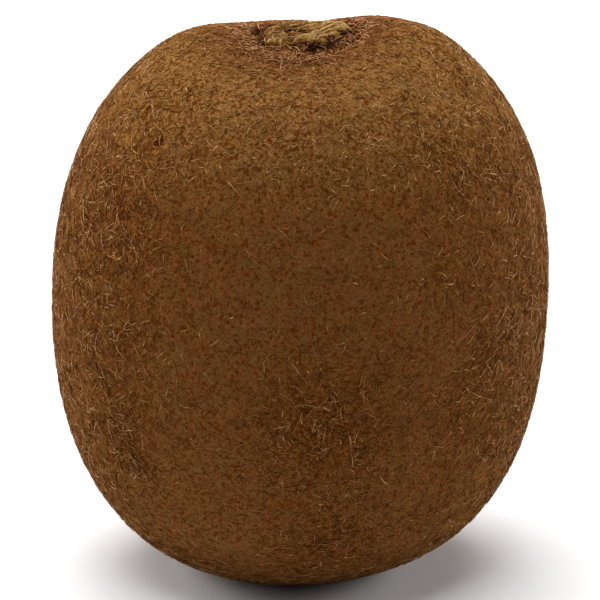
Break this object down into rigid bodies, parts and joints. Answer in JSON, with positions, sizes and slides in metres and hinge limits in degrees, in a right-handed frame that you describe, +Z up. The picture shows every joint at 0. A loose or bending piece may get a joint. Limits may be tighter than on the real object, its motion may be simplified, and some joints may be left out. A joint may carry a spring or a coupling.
{
  "type": "kiwi fruit",
  "caption": "Whole kiwi fruit with fuzzy brown skin, standing on the small flat spot at its blossom end, its corky stem scar in a shallow bowl on top.",
  "frame": {"origin": "middle of the flat spot at the blossom end, which the fruit stands on", "axes": "+Z up along the fruit from the blossom end to the stem end, X across its wider section, -Y the front"},
  "size_m": [0.0547, 0.051, 0.0626],
  "materials": {
    "skin": "matte",
    "fuzz": "satin",
    "stem_scar": "matte"
  },
  "bodies": {
    "root": {"kiwi_fruit": "skin"}
  },
  "joints": []
}
